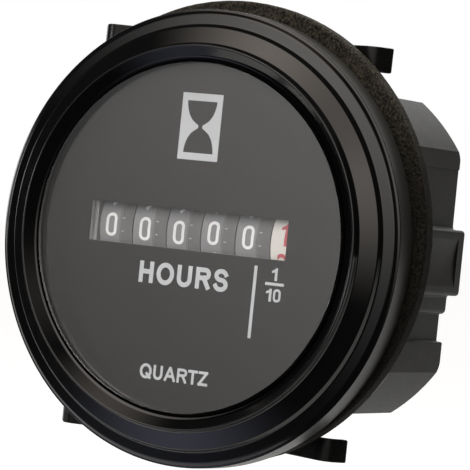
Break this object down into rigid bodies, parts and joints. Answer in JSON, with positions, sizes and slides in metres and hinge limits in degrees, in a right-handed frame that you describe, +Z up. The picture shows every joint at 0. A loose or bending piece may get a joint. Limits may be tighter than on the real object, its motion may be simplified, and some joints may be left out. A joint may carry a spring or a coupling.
{
  "type": "panel hour meter",
  "caption": "Round panel-mounted hour meter: glossy stepped bezel and lens over a dial with a number-wheel counter, square-backed case, foam gasket, slide-on clip and blade terminals.",
  "frame": {"origin": "on the meter's axis at the panel seat, which is the gasket's rear face", "axes": "+Y out of the back of the meter along its axis (the dial faces -Y), +Z up, +X to the right as the dial is read"},
  "size_m": [0.062, 0.0433, 0.062],
  "materials": {
    "bezel": "polished black",
    "lens": "clear acrylic",
    "dial": "satin dark grey",
    "dial_ring": "matte black",
    "gasket": "closed-cell foam",
    "case": "moulded matte",
    "clip": "moulded glossy black",
    "terminal": "tinned",
    "chassis": "moulded",
    "steel": "ground",
    "wheel": "moulded grey",
    "tenths": "moulded white",
    "pinion": "moulded natural",
    "gear": "moulded natural",
    "magnet": "sintered",
    "copper": "enamelled wire",
    "board": "lacquered laminate",
    "electronic": "moulded"
  },
  "bodies": {
    "meter": {"bezel": "bezel", "lens": "lens", "dial": "dial", "dial_ring": "dial_ring", "gasket": "gasket", "case": "case", "terminal_positive": "terminal", "terminal_negative": "terminal", "chassis": "chassis", "wheel_shaft": "steel", "pinion_shaft": "steel", "motor_stator": "steel", "motor_coil": "copper", "circuit_board": "board", "quartz_crystal": "steel", "driver_chip": "electronic", "filter_capacitor": "electronic", "protection_diode": "electronic", "series_resistor": "electronic", "chassis_screws": "steel", "board_screws": "steel"},
    "clip": {"mounting_clip": "clip"},
    "tenths": {"wheel_tenths": "tenths"},
    "units": {"wheel_units": "wheel"},
    "tens": {"wheel_tens": "wheel"},
    "hundreds": {"wheel_hundreds": "wheel"},
    "thousands": {"wheel_thousands": "wheel"},
    "ten_thousands": {"wheel_ten_thousands": "wheel"},
    "pinion_1": {"transfer_pinion_1": "pinion"},
    "pinion_2": {"transfer_pinion_2": "pinion"},
    "pinion_3": {"transfer_pinion_3": "pinion"},
    "pinion_4": {"transfer_pinion_4": "pinion"},
    "pinion_5": {"transfer_pinion_5": "pinion"},
    "reduction": {"reduction_wheel": "gear"},
    "rotor": {"motor_rotor": "magnet"}
  },
  "joints": [
    {"name": "clip_slide", "type": "slide", "parent": "meter", "child": "clip", "axis": [0, 1, 0], "range_m": [0, 0.0235]},
    {"name": "tenths_turn", "type": "hinge", "parent": "meter", "child": "tenths", "pos_m": [0.0131, 0.0013, 0.0006], "axis": [-1, 0, 0], "continuous": true},
    {"name": "units_turn", "type": "hinge", "parent": "meter", "child": "units", "pos_m": [0.00796, 0.0013, 0.0006], "axis": [-1, 0, 0], "continuous": true},
    {"name": "tens_turn", "type": "hinge", "parent": "meter", "child": "tens", "pos_m": [0.00282, 0.0013, 0.0006], "axis": [-1, 0, 0], "continuous": true},
    {"name": "hundreds_turn", "type": "hinge", "parent": "meter", "child": "hundreds", "pos_m": [-0.00232, 0.0013, 0.0006], "axis": [-1, 0, 0], "continuous": true},
    {"name": "thousands_turn", "type": "hinge", "parent": "meter", "child": "thousands", "pos_m": [-0.00746, 0.0013, 0.0006], "axis": [-1, 0, 0], "continuous": true},
    {"name": "ten_thousands_turn", "type": "hinge", "parent": "meter", "child": "ten_thousands", "pos_m": [-0.0126, 0.0013, 0.0006], "axis": [-1, 0, 0], "continuous": true},
    {"name": "pinion_1_turn", "type": "hinge", "parent": "meter", "child": "pinion_1", "pos_m": [0.01026, 0.00865, 0.0006], "axis": [-1, 0, 0], "continuous": true},
    {"name": "pinion_2_turn", "type": "hinge", "parent": "meter", "child": "pinion_2", "pos_m": [0.00512, 0.00865, 0.0006], "axis": [-1, 0, 0], "continuous": true},
    {"name": "pinion_3_turn", "type": "hinge", "parent": "meter", "child": "pinion_3", "pos_m": [-0.00002, 0.00865, 0.0006], "axis": [-1, 0, 0], "continuous": true},
    {"name": "pinion_4_turn", "type": "hinge", "parent": "meter", "child": "pinion_4", "pos_m": [-0.00516, 0.00865, 0.0006], "axis": [-1, 0, 0], "continuous": true},
    {"name": "pinion_5_turn", "type": "hinge", "parent": "meter", "child": "pinion_5", "pos_m": [-0.0103, 0.00865, 0.0006], "axis": [-1, 0, 0], "continuous": true},
    {"name": "reduction_turn", "type": "hinge", "parent": "meter", "child": "reduction", "pos_m": [0.0155, 0.0053, -0.00633], "axis": [-1, 0, 0], "continuous": true},
    {"name": "rotor_turn", "type": "hinge", "parent": "meter", "child": "rotor", "pos_m": [0.0155, 0.01082, -0.01096], "axis": [-1, 0, 0], "continuous": true}
  ],
  "couplings": [
    {"joint": "units_turn", "follows": "tenths_turn", "ratio": 0.1},
    {"joint": "tens_turn", "follows": "tenths_turn", "ratio": 0.01},
    {"joint": "hundreds_turn", "follows": "tenths_turn", "ratio": 0.001},
    {"joint": "thousands_turn", "follows": "tenths_turn", "ratio": 0.0001},
    {"joint": "ten_thousands_turn", "follows": "tenths_turn", "ratio": 0.00001},
    {"joint": "pinion_1_turn", "follows": "tenths_turn", "ratio": -0.25},
    {"joint": "pinion_2_turn", "follows": "tenths_turn", "ratio": -0.025},
    {"joint": "pinion_3_turn", "follows": "tenths_turn", "ratio": -0.0025},
    {"joint": "pinion_4_turn", "follows": "tenths_turn", "ratio": -0.00025},
    {"joint": "pinion_5_turn", "follows": "tenths_turn", "ratio": -0.000025},
    {"joint": "reduction_turn", "follows": "tenths_turn", "ratio": -3},
    {"joint": "rotor_turn", "follows": "tenths_turn", "ratio": 15}
  ]
}
